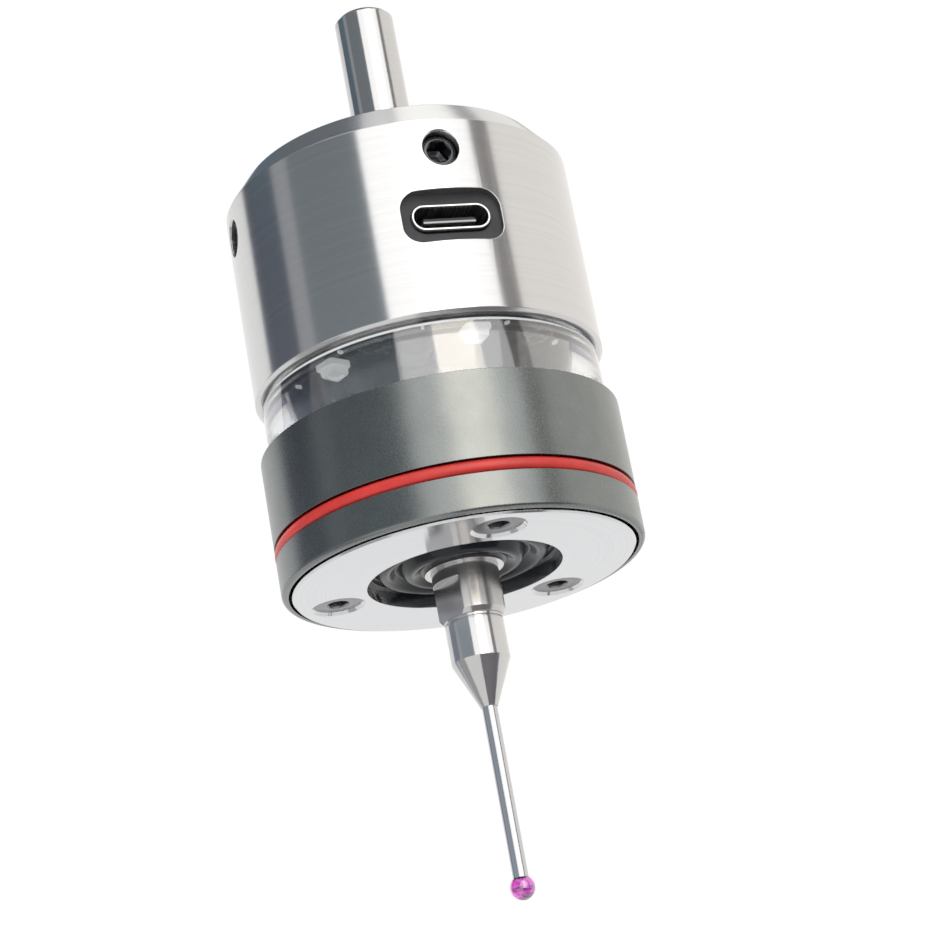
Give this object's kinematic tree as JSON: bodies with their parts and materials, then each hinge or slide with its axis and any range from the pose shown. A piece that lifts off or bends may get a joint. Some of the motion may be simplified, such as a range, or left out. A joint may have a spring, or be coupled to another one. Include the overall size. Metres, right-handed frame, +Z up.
{
  "type": "touch probe",
  "caption": "Spindle touch probe: straight shank, round housing with data port, clear lamp ring, dark lower housing with a red ring, and a sprung stylus with a ruby ball.",
  "frame": {"origin": "centre of the shank's foot, on the upper housing's top face", "axes": "+Z up the shank, away from the stylus; -Y out of the data port; +X completes a right-handed frame"},
  "size_m": [0.041, 0.041, 0.1076],
  "materials": {
    "ground_steel": "ground and satin-polished steel",
    "housing_steel": "turned stainless steel with a fine circular grain",
    "dark_metal": "dark grey satin anodised metal",
    "plate_steel": "lapped and polished steel",
    "black_screw": "blackened steel",
    "screw_steel": "plain steel screw",
    "clear_plastic": "clear polished acrylic",
    "red_rubber": "red silicone rubber",
    "black_rubber": "black moulded rubber",
    "black_plastic": "black moulded plastic",
    "socket_steel": "bright plated steel sheet",
    "board": "black solder mask on glass epoxy",
    "lamp": "white moulded lamp body",
    "chip": "black moulded chip",
    "insulator": "glass epoxy insulating plate",
    "carbide": "ground tungsten carbide",
    "ruby": "polished synthetic ruby",
    "spring_steel": "drawn spring wire",
    "bronze": "sintered bronze",
    "light_metal": "turned aluminium"
  },
  "bodies": {
    "housing": {"shank": "ground_steel", "shank_screws": "black_screw", "upper_housing": "housing_steel", "centring_screws": "black_screw", "port_bezel": "black_plastic", "socket_shell": "socket_steel", "socket_tongue": "black_plastic", "main_board": "board", "light_board": "board", "upper_spacers": "light_metal", "lower_spacers": "light_metal", "board_screws": "screw_steel", "board_lights": "lamp", "board_chips": "chip", "link_header": "black_plastic", "spring_bridge": "light_metal", "spring_plug": "light_metal", "pressure_spring": "spring_steel", "guide_bush": "bronze", "light_ring": "clear_plastic", "lower_housing": "dark_metal", "red_ring": "red_rubber", "base_plate": "plate_steel", "base_screws": "screw_steel", "bellows": "black_rubber", "contact_balls": "ground_steel", "contact_plate": "insulator", "contact_plate_screws": "screw_steel"},
    "plunger": {"spring_plunger": "ground_steel"},
    "pivot_ball": {"thrust_ball": "ground_steel"},
    "stylus": {"tripod_hub": "light_metal", "contact_rods": "ground_steel", "stylus_holder": "ground_steel", "bellows_clamp_ring": "ground_steel", "stylus_base": "ground_steel", "stylus_stem": "carbide", "ruby_ball": "ruby"}
  },
  "joints": [
    {"name": "stylus_lift", "type": "slide", "parent": "housing", "child": "plunger", "axis": [0, 0, 1], "range_m": [0, 0.003], "stiffness_N_per_m": 300, "springref_m": -0.004, "deforming": ["pressure_spring", "bellows"]},
    {"name": "tilt_x", "type": "hinge", "parent": "plunger", "child": "pivot_ball", "pos_m": [0, 0, -0.03709], "axis": [1, 0, 0], "range_deg": [-4, 4], "stiffness_Nm_per_rad": 0.2},
    {"name": "tilt_y", "type": "hinge", "parent": "pivot_ball", "child": "stylus", "pos_m": [0, 0, -0.03709], "axis": [0, 1, 0], "range_deg": [-4, 4], "stiffness_Nm_per_rad": 0.2}
  ]
}
